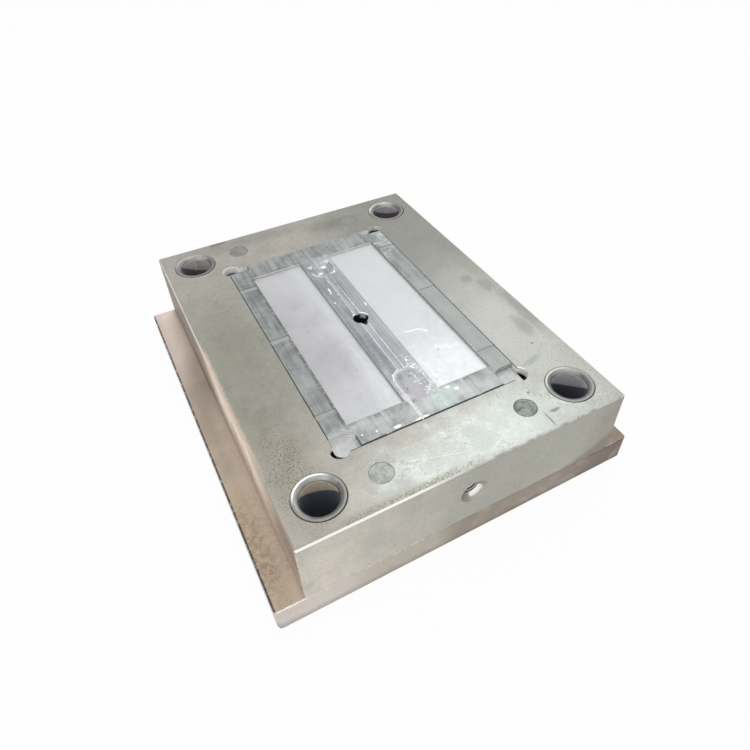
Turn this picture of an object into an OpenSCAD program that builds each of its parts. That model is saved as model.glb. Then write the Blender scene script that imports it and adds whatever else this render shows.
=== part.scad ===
// Fixed half of a two-plate injection mould, parting face up.
// The origin is on the sprue's centre line, at the outer face of the locating ring.
// X runs across the clamping ledges, Y along the plates, and Z from the ring to the parting face.

/* [Mould base] */
// Width of the cavity plate
plate_w = 300; // [280:5:340]
// Length of both plates
plate_l = 400; // [380:5:440]
// Thickness of the cavity plate
cavity_plate_t = 70; // [64:1:90]
// Thickness of the clamp plate
clamp_plate_t = 28; // [26:1:40]
// Reach of the clamp plate past each long side of the cavity plate
ledge_w = 25; // [22:1:40]
// Chamfer on the clamp plate's edges
clamp_chamfer = 1.5; // [0.5:0.25:3]
// Radius of the clamp plate's upright corners
clamp_corner_r = 5; // [2:0.5:8]
// Chamfer on the cavity plate's edges
cavity_chamfer = 1.2; // [0.5:0.1:2]
// Clearance all round a piece that is let into a bored seat
seat_gap = 0.05; // [0.02:0.01:0.1]

/* [Guide bushes] */
// Bore that a guide pin of the moving half enters
guide_bore_d = 30; // [26:1:32]
// Wall of a guide bush
guide_wall = 6; // [5:0.5:7]
// Radius of the rounded mouth of a guide bush
guide_mouth_r = 4; // [2:0.5:4.5]
// Reach of a guide bush's collar past its wall
guide_collar_w = 2.5; // [1.5:0.5:4]
// Thickness of a guide bush's collar
guide_collar_t = 8; // [5:0.5:10]
// Distance from a guide bush's axis to the plate's long side
guide_inset_x = 32.5; // [30:0.5:36]
// Distance from a guide bush's axis to the plate's end
guide_inset_y = 33; // [30:0.5:38]
// Chamfer of the hole around a guide bush
guide_hole_chamfer = 0.8; // [0.3:0.1:1.2]

/* [Return pin pads] */
// Diameter of a hardened pad that a return pin strikes
pad_d = 20; // [16:1:24]
// Thickness of a pad
pad_t = 8; // [5:0.5:12]
// Distance from the centre line to a pad's axis
pad_x = 67.5; // [60:0.5:72]
// Distance from a pad's axis to the plate's end
pad_inset_y = 29.5; // [24:0.5:34]
// Chamfer round a pad's face
pad_chamfer = 0.3; // [0.2:0.1:0.6]

/* [Cavity insert] */
// Width of the insert
insert_w = 180; // [176:1:184]
// Length of the insert
insert_l = 280; // [274:1:286]
// Thickness of the insert
insert_t = 45; // [42:1:48]
// Gap between the insert and each wall of its pocket
insert_gap = 0.1; // [0.05:0.05:0.3]
// Chamfer along the insert's and the pocket's upper edges
insert_chamfer = 0.4; // [0.2:0.1:0.8]
// Radius of the milled relief in each corner of the pocket
relief_r = 8; // [6:0.5:9]
// Distance from a relief's axis to both pocket walls
relief_inset = 3.6; // [2:0.2:5]
// Width of the pry notch in each corner of the insert
notch_w = 22; // [20:0.5:23]
// Depth of a pry notch
notch_depth = 6; // [5:0.5:8]
// Length of the two front notches
front_notch_l = 18; // [15:0.5:20]
// Radius of a front notch's inner corner
front_notch_r = 8; // [6:0.5:9]
// Length of the two back notches
back_notch_l = 9; // [8:0.5:12]
// Radius of a back notch's inner corner
back_notch_r = 2; // [1:0.5:5]

/* [Impressions] */
// Width of each of the two impressions
cavity_w = 54; // [50:0.5:55]
// Length of an impression
cavity_l = 231; // [210:1:236]
// Depth of an impression
cavity_depth = 2.5; // [1:0.25:4]
// Width of the bar between the impressions
bar_w = 33; // [30:0.5:36]
// Width of a vent channel across the shut-off face
vent_w = 6; // [4:0.5:8]
// Depth of a vent channel
vent_depth = 0.5; // [0.3:0.1:0.8]
// Land between an impression and the start of a vent channel
vent_land = 1.2; // [0.8:0.2:3]
// Distance from the middle to the outer vent channels of a long side
vent_pitch = 97; // [60:0.5:100]
// Distance of a long side's middle vent channel behind the middle
vent_shift = 8; // [0:0.5:12]

/* [Runner and sprue] */
// Width of the runner along the bar
runner_w = 5.2; // [4:0.2:7]
// Depth of the runner
runner_depth = 1.5; // [1:0.1:2]
// Distance from the sprue to the fork at each end of the runner
runner_reach = 82; // [60:1:90]
// Radius of the bend in each fork
fork_r = 10; // [8:0.5:11]
// Length of a fork's straight arms
fork_arm = 15; // [5:1:20]
// Width of a fork's arms
fork_w = 5; // [3:0.25:5.5]
// Depth of a fork's arms
fork_depth = 1.3; // [0.8:0.1:1.6]
// Width of the outlet from the front fork's left arm to the insert's edge
outlet_w = 2.6; // [2:0.2:3]
// Depth of the outlet
outlet_depth = 0.8; // [0.4:0.1:1.2]
// Diameter of the sprue at the parting face
sprue_mouth_d = 15; // [12:0.5:16]
// Diameter of the sprue where the insert meets the bush
sprue_neck_d = 9; // [8:0.5:10]
// Diameter of the sprue at the nozzle
sprue_orifice_d = 4.5; // [3:0.5:6]
// Diameter of the sprue bush's shank
bush_shank_d = 20; // [18:1:24]
// Reach of the shank into the insert
bush_reach = 25; // [15:1:30]
// Diameter of the sprue bush's head
bush_head_d = 50; // [44:1:56]
// Thickness of the sprue bush's head
bush_head_t = 15; // [12:0.5:17]
// Radius of the ball seat for the nozzle
nozzle_seat_r = 16; // [12:1:20]
// Depth of the ball seat
nozzle_seat_depth = 4; // [3:0.5:6]

/* [Locating ring] */
// Diameter of the locating ring
ring_d = 100; // [98:1:120]
// Height of the ring outside the clamp plate
ring_proud = 10; // [8:0.5:15]
// Diameter of the ring's spigot in the clamp plate
ring_spigot_d = 90; // [86:1:94]
// Length of the ring's spigot
ring_sunk = 5; // [4:0.5:6]
// Diameter of the ring's opening
ring_bore_d = 36; // [32:1:40]
// Width of the cone that leads a nozzle into the ring
ring_cone_w = 6; // [3:0.5:8]
// Distance from the centre to a ring screw's axis
ring_screw_r = 36; // [34:0.5:38]
// Chamfer on the ring's outer edge
ring_chamfer = 1.5; // [0.5:0.25:2.5]

/* [Fasteners] */
// Thread of the clamp plate's screws
clamp_screw_d = 14; // [12:2:16]
// Length of a clamp plate screw under its head
clamp_screw_l = 40; // [36:1:46]
// Distance from a clamp plate screw's axis to the cavity plate's long side
clamp_screw_inset_x = 30; // [26:0.5:34]
// Distance from a clamp plate screw's axis to the cavity plate's end
clamp_screw_inset_y = 75; // [74:0.5:78]
// Thread of the insert's screws
insert_screw_d = 10; // [8:2:10]
// Length of an insert screw under its head
insert_screw_l = 32; // [28:1:38]
// Distance from the insert's long side to an insert screw's axis
insert_screw_inset = 20; // [17:0.5:22]
// Distance from the middle to the outer insert screws
insert_screw_y = 122; // [121:0.5:124]
// Thread of the ring's screws
ring_screw_d = 6; // [5:1:6]
// Length of a ring screw under its head
ring_screw_l = 20; // [16:1:24]
// Diameter of a plate dowel
dowel_d = 12; // [10:1:14]
// Length of a plate dowel
dowel_l = 46; // [40:1:48]
// Depth of a dowel's end below the clamp plate's back
dowel_sunk = 2; // [1:0.5:4]
// Clearance round a screw's shank in the plate that it holds
screw_gap = 0.5; // [0.3:0.1:0.8]
// Clearance round a screw's head in its counterbore
head_gap = 0.75; // [0.5:0.05:1]
// Depth of a screw's head below the face around it
head_sunk = 1; // [0.5:0.25:1.5]
// Clearance between a screw and its thread
thread_gap = 0.05; // [0.02:0.01:0.1]
// Free depth of a tapped hole past the end of its screw
tap_spare = 4; // [2:1:6]

/* [Eyebolt holes] */
// Core diameter of the lifting eyebolt's thread
eyebolt_core_d = 13.8; // [10:0.1:17.3]
// Depth of an eyebolt hole
eyebolt_depth = 32; // [24:1:40]
// Diameter of the countersink at an eyebolt hole
eyebolt_sink_d = 25; // [20:0.5:28]

/* [Cooling] */
// Diameter of a cooling channel
channel_d = 8; // [6:0.5:10]
// Distance from the centre line to each channel under an impression
channel_x = 43; // [38:0.5:48]
// Distance from the middle to the risers of the near channel
near_riser_y = 105; // [103:0.5:106]
// Distance from the middle to the risers of the far channel
far_riser_y = 75; // [65:1:80]
// Height of a channel above the insert's back
channel_up = 17; // [14:0.5:20]
// Diameter of a seal's cord
seal_cord_d = 2.4; // [2:0.1:3]
// Diameter of a seal along the middle of its cord
seal_d = 12.5; // [12:0.1:14]
// Clearance round a seal in its groove
seal_gap = 0.2; // [0.1:0.1:0.4]
// Diameter of a channel plug
plug_d = 12; // [11:0.5:13]
// Length of a channel plug
plug_l = 10; // [8:0.5:14]
// Thread diameter of a water nipple
nipple_thread_d = 12.6; // [12:0.1:13.2]
// Length of a nipple's thread
nipple_thread_l = 12; // [9:0.5:14]
// Width across the flats of a nipple's hexagon
nipple_hex = 17; // [15:1:19]
// Thickness of a nipple's hexagon
nipple_hex_t = 6; // [4:0.5:7]
// Diameter of a nipple's spigot
nipple_spigot_d = 9; // [8:0.5:10]
// Length of a nipple's spigot
nipple_spigot_l = 15; // [12:0.5:15]
// Bore of a nipple
nipple_bore_d = 6; // [4:0.5:6.5]

/* [Hidden] */
$fn = 64;
eps = 0.5;

// Levels, counted up from the outer face of the locating ring
clamp_z = ring_proud;
cavity_z = clamp_z + clamp_plate_t;
parting_z = cavity_z + cavity_plate_t;
insert_z = parting_z - insert_t;
pocket_floor_t = insert_z - cavity_z;
ring_seat_z = clamp_z + ring_sunk;
bush_head_z = ring_seat_z + bush_head_t;
bush_end_z = insert_z + bush_reach;

// Places of the pieces that repeat
guide_x = plate_w / 2 - guide_inset_x;
guide_y = plate_l / 2 - guide_inset_y;
guide_od = guide_bore_d + 2 * guide_wall;
guide_collar_d = guide_od + 2 * guide_collar_w;
pad_y = plate_l / 2 - pad_inset_y;
clamp_screw_x = plate_w / 2 - clamp_screw_inset_x;
clamp_screw_y = plate_l / 2 - clamp_screw_inset_y;
insert_screw_x = insert_w / 2 - insert_screw_inset;
cavity_x = (bar_w + cavity_w) / 2;
pocket_w = insert_w + 2 * insert_gap;
pocket_l = insert_l + 2 * insert_gap;
notch_z = parting_z - notch_depth;
nozzle_z = ring_seat_z + nozzle_seat_depth;

// Cooling: each row is the channel's x and the distance from the middle to its two risers
CHANNELS = [[channel_x, near_riser_y], [-channel_x, far_riser_y]];
feed_z = cavity_z + pocket_floor_t / 2;
channel_z = insert_z + channel_up;
seal_groove_depth = seal_cord_d;
NIPPLES = [-near_riser_y, -far_riser_y, far_riser_y, near_riser_y];
LEFT = -1;
RIGHT = 1;
FRONT = -1;
BACK = 1;

// Head sizes of a socket head cap screw of thread d
function head_d(d) = 1.5 * d;
function head_h(d) = d;
// Radius of the cutter that leaves a groove of width w and depth h
function groove_r(w, h) = (w * w / 4 + h * h) / (2 * h);

module chamfered_rect(w, h, c) {
    polygon([[-w / 2 + c, -h / 2], [w / 2 - c, -h / 2], [w / 2, -h / 2 + c], [w / 2, h / 2 - c],
        [w / 2 - c, h / 2], [-w / 2 + c, h / 2], [-w / 2, h / 2 - c], [-w / 2, -h / 2 + c]]);
}

module rounded_rect(w, h, r) {
    square([w - 2 * r, h], center = true);
    square([w, h - 2 * r], center = true);
    for (x = [r - w / 2, w / 2 - r], y = [r - h / 2, h / 2 - r]) translate([x, y]) circle(r = r);
}

// A plate with a chamfer on all twelve edges, standing on z = 0
module chamfered_plate(w, l, t, c) {
    intersection() {
        linear_extrude(t) chamfered_rect(w, l, c);
        translate([0, l / 2, t / 2]) rotate([90, 0, 0]) linear_extrude(l) chamfered_rect(w, t, c);
        translate([-w / 2, 0, t / 2]) rotate([90, 0, 90]) linear_extrude(w) chamfered_rect(l, t, c);
    }
}

// Puts a child at the four corners of a rectangle, with its +X and +Y turned inwards
module at_corners(x, y) {
    for (sx = [-1, 1], sy = [-1, 1])
        translate([sx * x, sy * y, 0])
            mirror([sx > 0 ? 1 : 0, 0, 0]) mirror([0, sy > 0 ? 1 : 0, 0]) children();
}

// A cylinder between two heights
module bore(d, z0, z1) {
    translate([0, 0, z0]) cylinder(d = d, h = z1 - z0);
}

// A 45 degree chamfer of width c round a hole of diameter d that opens upwards at height z
module mouth_chamfer(d, c, z) {
    translate([0, 0, z - c]) cylinder(d1 = d, d2 = d + 2 * (c + eps), h = c + eps);
}

// A socket head cap screw with its head's outer face at z = 0 and its shank upwards
module cap_screw(d, l) {
    difference() {
        union() {
            cylinder(d = head_d(d), h = head_h(d));
            bore(d, 0, head_h(d) + l);
        }
        translate([0, 0, -eps]) cylinder(d = head_d(d) * 0.64, h = head_h(d) / 2 + eps, $fn = 6);
    }
}

// The counterbore and clearance hole for that screw, from z = 0 up to z = through
module cap_screw_hole(d, through) {
    bore(head_d(d) + 2 * head_gap, -eps, head_h(d) + head_sunk);
    bore(d + 2 * screw_gap, 0, through + eps);
}

// The tapped hole for that screw's end
module tapped_hole(d, z0, depth) {
    bore(d + 2 * thread_gap, z0 - eps, z0 + depth + tap_spare);
}

module at_clamp_screws() {
    for (x = [-clamp_screw_x, clamp_screw_x], y = [-clamp_screw_y, clamp_screw_y])
        translate([x, y, clamp_z]) children();
}

module at_insert_screws() {
    for (x = [-insert_screw_x, insert_screw_x], y = [-insert_screw_y, 0, insert_screw_y])
        translate([x, y, cavity_z]) children();
}

module at_ring_screws() {
    for (y = [-ring_screw_r, ring_screw_r]) translate([0, y, 0]) children();
}

module at_dowels() {
    for (x = [-clamp_screw_x, clamp_screw_x]) translate([x, 0, clamp_z]) children();
}

// Puts a child at each riser, where a channel crosses from the plate into the insert
module at_risers() {
    for (c = CHANNELS, s = [-1, 1]) translate([c[0], s * c[1], 0]) children();
}

module clamp_plate() {
    color("#8f8378") difference() {
        translate([0, 0, clamp_z]) intersection() {
            chamfered_plate(plate_w + 2 * ledge_w, plate_l, clamp_plate_t, clamp_chamfer);
            linear_extrude(clamp_plate_t) rounded_rect(plate_w + 2 * ledge_w, plate_l, clamp_corner_r);
        }
        bore(ring_spigot_d + 2 * seat_gap, clamp_z - eps, ring_seat_z);
        bore(bush_head_d + 2 * seat_gap, clamp_z, bush_head_z);
        bore(bush_shank_d + 2 * seat_gap, clamp_z, cavity_z + eps);
        at_clamp_screws() cap_screw_hole(clamp_screw_d, clamp_plate_t);
        at_ring_screws()
            tapped_hole(ring_screw_d, ring_seat_z, head_sunk + head_h(ring_screw_d) + ring_screw_l - ring_seat_z);
        at_dowels() bore(dowel_d + 2 * seat_gap, -eps, clamp_plate_t + eps);
    }
}

// The pocket that holds the insert, with a relief in each corner and a chamfer round its rim
module pocket() {
    rim = insert_chamfer;
    translate([-pocket_w / 2, -pocket_l / 2, insert_z]) cube([pocket_w, pocket_l, insert_t + eps]);
    at_corners(pocket_w / 2 - relief_inset, pocket_l / 2 - relief_inset)
        bore(2 * relief_r, insert_z, parting_z + eps);
    for (side = [[0, pocket_l, pocket_w], [90, pocket_w, pocket_l]], s = [0, 180])
        rotate([0, 0, side[0] + s]) translate([side[2] / 2, side[1] / 2, parting_z])
            rotate([90, 0, 0]) linear_extrude(side[1])
                polygon([[-eps, -rim], [0, -rim], [rim + eps, eps], [-eps, eps]]);
}

module eyebolt_hole() {
    sink = (eyebolt_sink_d - eyebolt_core_d) / 2;
    bore(eyebolt_core_d, -eyebolt_depth, eps);
    mouth_chamfer(eyebolt_core_d, sink, 0);
}

// The feeds drilled from the plate's right side, each with its riser, its seal groove and its port
module plate_channels() {
    for (c = CHANNELS, s = [-1, 1]) translate([0, s * c[1], feed_z]) {
        translate([c[0], 0, 0]) rotate([0, 90, 0])
            cylinder(d = channel_d, h = plate_w / 2 - c[0] + eps);
        translate([plate_w / 2 - nipple_thread_l - tap_spare, 0, 0]) rotate([0, 90, 0])
            cylinder(d = nipple_thread_d + 2 * thread_gap, h = nipple_thread_l + tap_spare + eps);
    }
    at_risers() {
        bore(channel_d, feed_z, insert_z + eps);
        difference() {
            bore(seal_d + seal_cord_d + 2 * seal_gap, insert_z - seal_groove_depth, insert_z + eps);
            bore(seal_d - seal_cord_d - 2 * seal_gap, feed_z, insert_z);
        }
    }
}

module cavity_plate() {
    color("#9c9f97") difference() {
        translate([0, 0, cavity_z]) chamfered_plate(plate_w, plate_l, cavity_plate_t, cavity_chamfer);
        pocket();
        at_corners(guide_x, guide_y) {
            bore(guide_od + 2 * seat_gap, cavity_z - eps, parting_z + eps);
            bore(guide_collar_d + 2 * seat_gap, cavity_z - eps, cavity_z + guide_collar_t);
            mouth_chamfer(guide_od + 2 * seat_gap, guide_hole_chamfer, parting_z);
        }
        at_corners(pad_x, pad_y) bore(pad_d + 2 * seat_gap, parting_z - pad_t, parting_z + eps);
        bore(bush_shank_d + 2 * seat_gap, cavity_z - eps, insert_z + eps);
        at_clamp_screws() tapped_hole(clamp_screw_d, clamp_plate_t,
            head_sunk + head_h(clamp_screw_d) + clamp_screw_l - clamp_plate_t);
        at_insert_screws() cap_screw_hole(insert_screw_d, pocket_floor_t);
        at_dowels() tapped_hole(dowel_d, clamp_plate_t, dowel_sunk + dowel_l - clamp_plate_t);
        plate_channels();
        for (turn = [0, 180]) rotate([0, 0, turn])
            translate([0, -plate_l / 2, cavity_z + cavity_plate_t / 2]) rotate([90, 0, 0]) eyebolt_hole();
    }
}

// A groove along +Y from the origin, with a round bottom
module groove(w, h, l) {
    r = groove_r(w, h);
    translate([0, 0, parting_z + r - h]) rotate([-90, 0, 0]) cylinder(r = r, h = l);
}

// The half circle of a fork, open towards +Y
module fork_bend() {
    r = groove_r(fork_w, fork_depth);
    translate([0, 0, parting_z + r - fork_depth]) rotate([0, 0, 180])
        rotate_extrude(angle = 180) translate([fork_r, 0]) circle(r = r);
}

// The runner from the sprue to one end of the bar, with the fork that it feeds
module runner_half() {
    groove(runner_w, runner_depth, runner_reach);
    translate([0, runner_reach + fork_r, 0]) {
        fork_bend();
        for (x = [-fork_r, fork_r]) translate([x, 0, 0]) {
            groove(fork_w, fork_depth, fork_arm);
            translate([0, fork_arm, parting_z + groove_r(fork_w, fork_depth) - fork_depth])
                sphere(r = groove_r(fork_w, fork_depth));
        }
    }
}

// The groove from the front fork's left arm to the insert's front edge, where spilt plastic has run out
module outlet() {
    l = insert_l / 2 - runner_reach - fork_r;
    translate([-fork_r - fork_w / 2, -insert_l / 2 - eps, 0]) groove(outlet_w, outlet_depth, l + eps);
}

// Channels that let air out: three from each long side and one from each end of the impressions
module vents() {
    z = parting_z - vent_depth;
    x0 = cavity_x + cavity_w / 2 + vent_land;
    y0 = cavity_l / 2 + vent_land;
    for (sx = [-1, 1]) mirror([sx > 0 ? 0 : 1, 0, 0]) {
        for (y = [-vent_pitch, vent_shift, vent_pitch])
            translate([x0, y - vent_w / 2, z]) cube([insert_w / 2 - x0 + eps, vent_w, vent_depth + eps]);
        for (sy = [-1, 1]) mirror([0, sy > 0 ? 0 : 1, 0])
            translate([cavity_x - vent_w / 2, y0, z])
                cube([vent_w, insert_l / 2 - y0 + eps, vent_depth + eps]);
    }
}

// A pry notch of length l with a round inner corner, cut from the insert's front left corner inwards
module notch(l, r) {
    translate([-insert_w / 2, -insert_l / 2, notch_z]) linear_extrude(notch_depth + eps) {
        translate([-eps, -eps]) square([notch_w + eps, l - r + eps]);
        translate([-eps, -eps]) square([notch_w - r + eps, l + eps]);
        translate([notch_w - r, l - r]) circle(r = r);
    }
}

// The four notches: the front ones are long and round, the back ones short and nearly square
module notches() {
    for (side = [0, 1]) mirror([side, 0, 0]) {
        notch(front_notch_l, front_notch_r);
        mirror([0, 1, 0]) notch(back_notch_l, back_notch_r);
    }
}

// The insert's blank: only its upper edges have a chamfer
module insert_blank() {
    c = insert_chamfer;
    difference() {
        translate([-insert_w / 2, -insert_l / 2, insert_z]) cube([insert_w, insert_l, insert_t]);
        for (side = [[0, insert_l, insert_w], [90, insert_w, insert_l]], s = [0, 180])
            rotate([0, 0, side[0] + s]) translate([side[2] / 2, side[1] / 2 + eps, parting_z])
                rotate([90, 0, 0]) linear_extrude(side[1] + 2 * eps)
                    polygon([[-c, eps], [-c, 0], [0, -c], [eps, -c], [eps, eps]]);
    }
}

module insert_channels() {
    for (c = CHANNELS) {
        translate([c[0], -insert_l / 2 - eps, channel_z]) rotate([-90, 0, 0]) {
            cylinder(d = channel_d, h = insert_l / 2 + c[1] + channel_d / 2 + eps);
            cylinder(d = plug_d + 2 * thread_gap, h = plug_l + eps);
        }
    }
    at_risers() bore(channel_d, insert_z - eps, channel_z);
}

module cavity_insert() {
    color("#b9bcbd") difference() {
        insert_blank();
        notches();
        for (x = [-cavity_x, cavity_x])
            translate([x - cavity_w / 2, -cavity_l / 2, parting_z - cavity_depth])
                cube([cavity_w, cavity_l, cavity_depth + eps]);
        for (turn = [0, 180]) rotate([0, 0, turn]) runner_half();
        outlet();
        vents();
        translate([0, 0, bush_end_z])
            cylinder(d1 = sprue_neck_d, d2 = sprue_mouth_d, h = parting_z - bush_end_z);
        bore(sprue_mouth_d, parting_z, parting_z + eps);
        bore(bush_shank_d + 2 * seat_gap, insert_z - eps, bush_end_z);
        at_insert_screws() tapped_hole(insert_screw_d, pocket_floor_t,
            head_sunk + head_h(insert_screw_d) + insert_screw_l - pocket_floor_t);
        insert_channels();
    }
}

// A shouldered bush, held by the clamp plate behind its collar
module guide_bush(sx, sy) {
    top = cavity_plate_t;
    r = guide_bore_d / 2;
    color("#77736f") translate([sx * guide_x, sy * guide_y, cavity_z]) difference() {
        union() {
            cylinder(d = guide_collar_d, h = guide_collar_t);
            cylinder(d = guide_od, h = top - guide_hole_chamfer);
            translate([0, 0, top - guide_hole_chamfer])
                cylinder(d1 = guide_od, d2 = guide_od - guide_hole_chamfer, h = guide_hole_chamfer);
        }
        translate([0, 0, -eps]) cylinder(r = r, h = top + 2 * eps);
        rotate_extrude() difference() {
            translate([0, top - guide_mouth_r]) square([r + guide_mouth_r, guide_mouth_r + eps]);
            translate([r + guide_mouth_r, top - guide_mouth_r]) circle(r = guide_mouth_r);
        }
    }
}

module return_pad(sx, sy) {
    color("#7f827c") translate([sx * pad_x, sy * pad_y, parting_z - pad_t]) {
        cylinder(d = pad_d, h = pad_t - pad_chamfer);
        translate([0, 0, pad_t - pad_chamfer])
            cylinder(d1 = pad_d, d2 = pad_d - 2 * pad_chamfer, h = pad_chamfer);
    }
}

module sprue_bush() {
    color("#6e6b66") difference() {
        union() {
            bore(bush_head_d, ring_seat_z, bush_head_z);
            bore(bush_shank_d, ring_seat_z, bush_end_z);
        }
        translate([0, 0, nozzle_z - nozzle_seat_r]) sphere(r = nozzle_seat_r);
        translate([0, 0, nozzle_z - eps])
            cylinder(d1 = sprue_orifice_d, d2 = sprue_neck_d, h = bush_end_z - nozzle_z + eps);
        bore(sprue_neck_d, bush_end_z - eps, bush_end_z + eps);
    }
}

module locating_ring() {
    color("#8d8a85") difference() {
        union() {
            cylinder(d1 = ring_d - 2 * ring_chamfer, d2 = ring_d, h = ring_chamfer);
            bore(ring_d, ring_chamfer, clamp_z);
            bore(ring_spigot_d, ring_chamfer, ring_seat_z);
        }
        bore(ring_bore_d, -eps, ring_seat_z + eps);
        translate([0, 0, -eps])
            cylinder(d1 = ring_bore_d + 2 * (ring_cone_w + eps), d2 = ring_bore_d, h = ring_cone_w + eps);
        at_ring_screws() cap_screw_hole(ring_screw_d, ring_seat_z);
    }
}

module ring_screws() {
    color("#3c3b39") at_ring_screws() translate([0, 0, head_sunk]) cap_screw(ring_screw_d, ring_screw_l);
}

module clamp_plate_screws() {
    color("#3c3b39") at_clamp_screws()
        translate([0, 0, head_sunk]) cap_screw(clamp_screw_d, clamp_screw_l);
}

module insert_screws() {
    color("#3c3b39") at_insert_screws()
        translate([0, 0, head_sunk]) cap_screw(insert_screw_d, insert_screw_l);
}

module plate_dowels() {
    color("#a7a5a1") at_dowels() translate([0, 0, dowel_sunk]) cylinder(d = dowel_d, h = dowel_l);
}

module channel_plugs() {
    color("#b08d4a") for (c = CHANNELS)
        translate([c[0], -insert_l / 2, channel_z]) rotate([-90, 0, 0]) difference() {
            cylinder(d = plug_d, h = plug_l);
            translate([0, 0, -eps]) cylinder(d = plug_d / 2, h = plug_l / 2 + eps, $fn = 6);
        }
}

module channel_seals() {
    color("#26241f") at_risers() translate([0, 0, insert_z - seal_cord_d / 2])
        rotate_extrude() translate([seal_d / 2, 0]) circle(d = seal_cord_d);
}

// A brass nipple in the plate's right side, with a groove for the hose coupling
module water_nipple(y) {
    groove_w = nipple_spigot_l / 5;
    color("#b08d4a") translate([plate_w / 2, y, feed_z]) rotate([0, 90, 0]) difference() {
        union() {
            bore(nipple_thread_d, -nipple_thread_l, eps);
            rotate([0, 0, 30]) cylinder(d = nipple_hex / cos(30), h = nipple_hex_t, $fn = 6);
            bore(nipple_spigot_d, 0, nipple_hex_t + nipple_spigot_l);
        }
        bore(nipple_bore_d, -nipple_thread_l - eps, nipple_hex_t + nipple_spigot_l + eps);
        translate([0, 0, nipple_hex_t]) rotate_extrude()
            translate([nipple_spigot_d / 2 + groove_w / 4, groove_w]) circle(r = groove_w / 2);
    }
}

clamp_plate();
cavity_plate();
cavity_insert();
guide_bush(LEFT, BACK);  // guide_bush_back_left
guide_bush(RIGHT, BACK);  // guide_bush_back_right
guide_bush(LEFT, FRONT);  // guide_bush_front_left
guide_bush(RIGHT, FRONT);  // guide_bush_front_right
return_pad(LEFT, BACK);  // return_pad_back_left
return_pad(RIGHT, BACK);  // return_pad_back_right
return_pad(LEFT, FRONT);  // return_pad_front_left
return_pad(RIGHT, FRONT);  // return_pad_front_right
sprue_bush();
locating_ring();
ring_screws();
clamp_plate_screws();
insert_screws();
plate_dowels();
channel_plugs();
channel_seals();
water_nipple(NIPPLES[0]);  // water_nipple_1
water_nipple(NIPPLES[1]);  // water_nipple_2
water_nipple(NIPPLES[2]);  // water_nipple_3
water_nipple(NIPPLES[3]);  // water_nipple_4
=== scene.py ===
import math

import bmesh
import bpy
from mathutils import Matrix, Vector


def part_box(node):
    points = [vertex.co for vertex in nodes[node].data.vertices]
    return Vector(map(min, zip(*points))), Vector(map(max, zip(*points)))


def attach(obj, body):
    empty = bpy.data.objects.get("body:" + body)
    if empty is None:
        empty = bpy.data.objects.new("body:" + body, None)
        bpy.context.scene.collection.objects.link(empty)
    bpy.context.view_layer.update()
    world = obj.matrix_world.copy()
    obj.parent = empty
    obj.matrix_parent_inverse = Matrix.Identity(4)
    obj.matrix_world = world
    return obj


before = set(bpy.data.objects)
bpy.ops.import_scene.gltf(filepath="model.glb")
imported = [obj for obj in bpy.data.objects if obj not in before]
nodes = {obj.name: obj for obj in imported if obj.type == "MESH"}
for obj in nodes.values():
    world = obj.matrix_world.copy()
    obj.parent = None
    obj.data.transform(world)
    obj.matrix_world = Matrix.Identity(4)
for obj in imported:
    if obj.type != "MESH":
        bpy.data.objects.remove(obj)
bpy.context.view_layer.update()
mm = 0.001
print("frame loaded:", len(nodes), "CAD nodes")


def corners(name):  # a CAD node's low and high corners in millimetres
    return [[c / mm for c in corner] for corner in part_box(name)]


def middle(name):  # a CAD node's middle seen from above, in millimetres
    return [(low + high) / 2 for low, high in zip(*corners(name))][:2]


# Corners and levels of the mould, read from the frame
plateLow, plateHigh = corners("cavity_plate")
clampLow, clampHigh = corners("clamp_plate")
insertHigh = corners("cavity_insert")[1]
partingZ = plateHigh[2]
seamZ = plateLow[2]


def tone(red, green, blue):  # a colour as a screen shows it, 0 to 255, made linear
    return tuple(((c / 255 + 0.055) / 1.055) ** 2.4 for c in (red, green, blue))


def fromCentre(across, along):  # the straight distance
    return (across * across + along * along) ** 0.5


def strongest(masks):  # the highest of several masks at each point
    top = masks[0]
    for mask in masks[1:]:
        top = top.atLeast(mask)
    return top


class Value:  # a node's outlet: arithmetic on it adds Math nodes
    def __init__(self, shader, socket):
        self.shader = shader
        self.socket = socket

    def math(self, operation, *others):
        return self.shader.add("Math", {"operation": operation}, dict(enumerate((self, *others))))

    def __add__(self, other):
        return self.math("ADD", other)

    def __sub__(self, other):
        return self.math("SUBTRACT", other)

    def __mul__(self, other):
        return self.math("MULTIPLY", other)

    def __truediv__(self, other):
        return self.math("DIVIDE", other)

    def __pow__(self, other):
        return self.math("POWER", other)

    def __neg__(self):
        return self * -1.0

    def __radd__(self, other):
        return self + other

    def __rsub__(self, other):
        return -self + other

    def __rmul__(self, other):
        return self * other

    def __abs__(self):
        return self.math("ABSOLUTE")

    def atLeast(self, other):
        return self.math("MAXIMUM", other)

    def sway(self, width):  # a noise, centred on nought and made this wide
        return (self - 0.5) * width


class Shader:  # the nodes of a material or a world, and the one method that adds them
    def __init__(self, owner):
        self.owner = owner
        owner.use_nodes = True
        self.tree = owner.node_tree
        self.tree.nodes.clear()

    def add(self, kind, settings, sockets, outlet=0):
        node = self.tree.nodes.new("ShaderNode" + kind)
        for key, value in settings.items():
            setattr(node, key, value)
        for key, value in sockets.items():
            if isinstance(value, Value):
                self.tree.links.new(value.socket, node.inputs[key])
            else:
                node.inputs[key].default_value = value
        if node.outputs:
            return Value(self, node.outputs[outlet])


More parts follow.
